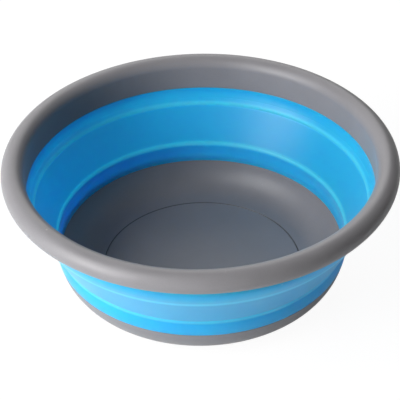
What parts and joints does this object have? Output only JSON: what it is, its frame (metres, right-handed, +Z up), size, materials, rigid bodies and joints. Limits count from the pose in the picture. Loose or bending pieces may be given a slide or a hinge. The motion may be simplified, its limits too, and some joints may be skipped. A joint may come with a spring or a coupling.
{
  "type": "collapsible bowl",
  "caption": "Round collapsible bowl with a rigid rolled rim, a soft wall that folds inside itself at two hinge lines, and a rigid flat-floored base tub.",
  "frame": {"origin": "centre of the base's underside, on the surface that the bowl stands on", "axes": "+Z up along the bowl's axis, out of its mouth; the bowl is round, so +X is any direction across it"},
  "size_m": [0.3, 0.3, 0.1115],
  "materials": {
    "rim_plastic": "satin grey polypropylene",
    "wall_elastomer": "soft satin blue elastomer",
    "base_plastic": "satin grey polypropylene"
  },
  "bodies": {
    "base": {"base_tub": "base_plastic", "lower_fold_band": "wall_elastomer", "middle_fold_band": "wall_elastomer"},
    "rim": {"rim_ring": "rim_plastic", "upper_fold_band": "wall_elastomer"}
  },
  "joints": [
    {"name": "fold_slide", "type": "slide", "parent": "base", "child": "rim", "axis": [0, 0, 1], "range_m": [-0.055, 0], "deforming": ["middle_fold_band"]}
  ]
}
